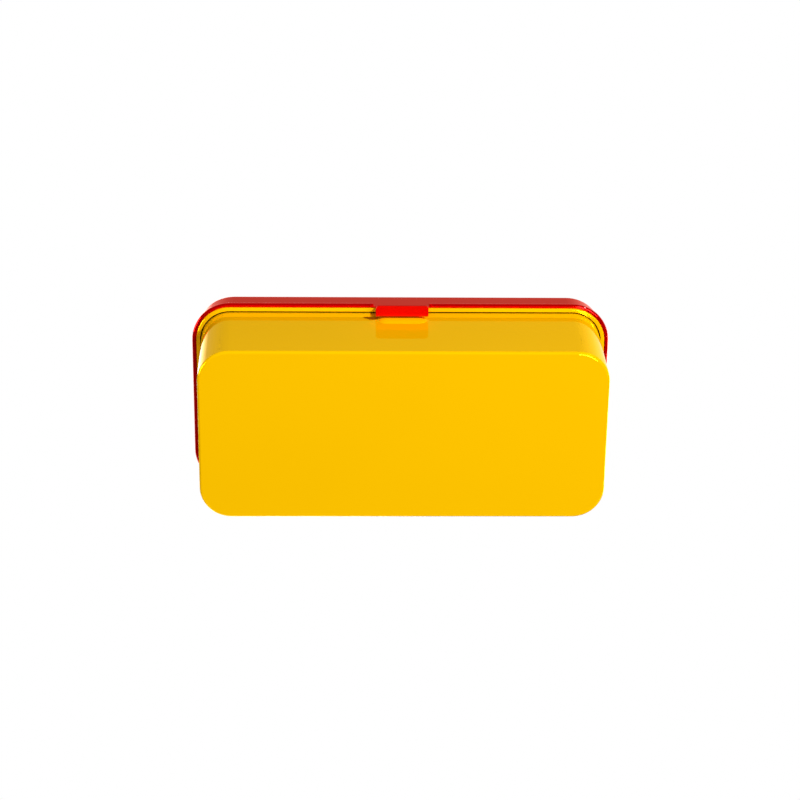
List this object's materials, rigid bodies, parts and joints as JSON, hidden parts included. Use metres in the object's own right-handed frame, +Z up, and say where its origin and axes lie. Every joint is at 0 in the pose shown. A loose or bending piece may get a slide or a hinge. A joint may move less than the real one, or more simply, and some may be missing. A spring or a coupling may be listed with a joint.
{
  "type": "film case",
  "caption": "Hinged steel tin for film rolls: yellow tray with rounded corners, red lid with a snap tab, divider inside.",
  "frame": {"origin": "centre of the tray's underside, which is the face the case rests on", "axes": "+X along the case, -Y towards the snap tab, +Z up from the base to the lid"},
  "size_m": [0.1592, 0.0782, 0.055],
  "materials": {
    "yellow_enamel": "gloss",
    "red_enamel": "gloss",
    "zinc_steel": "satin",
    "black_plastic": "matte"
  },
  "bodies": {
    "tray": {"tray_shell": "yellow_enamel", "left_tray_leaf": "zinc_steel", "right_tray_leaf": "zinc_steel", "left_hinge_pin": "zinc_steel", "right_hinge_pin": "zinc_steel", "tray_rivets": "zinc_steel", "divider_long": "black_plastic", "divider_cross_1": "black_plastic", "divider_cross_2": "black_plastic", "divider_cross_3": "black_plastic"},
    "lid": {"lid_shell": "red_enamel", "left_lid_leaf": "zinc_steel", "right_lid_leaf": "zinc_steel", "lid_rivets": "zinc_steel"}
  },
  "joints": [
    {"name": "lid_hinge", "type": "hinge", "parent": "tray", "child": "lid", "pos_m": [0, 0.03704, 0.04115], "axis": [-1, 0, 0], "range_deg": [0, 180]}
  ]
}
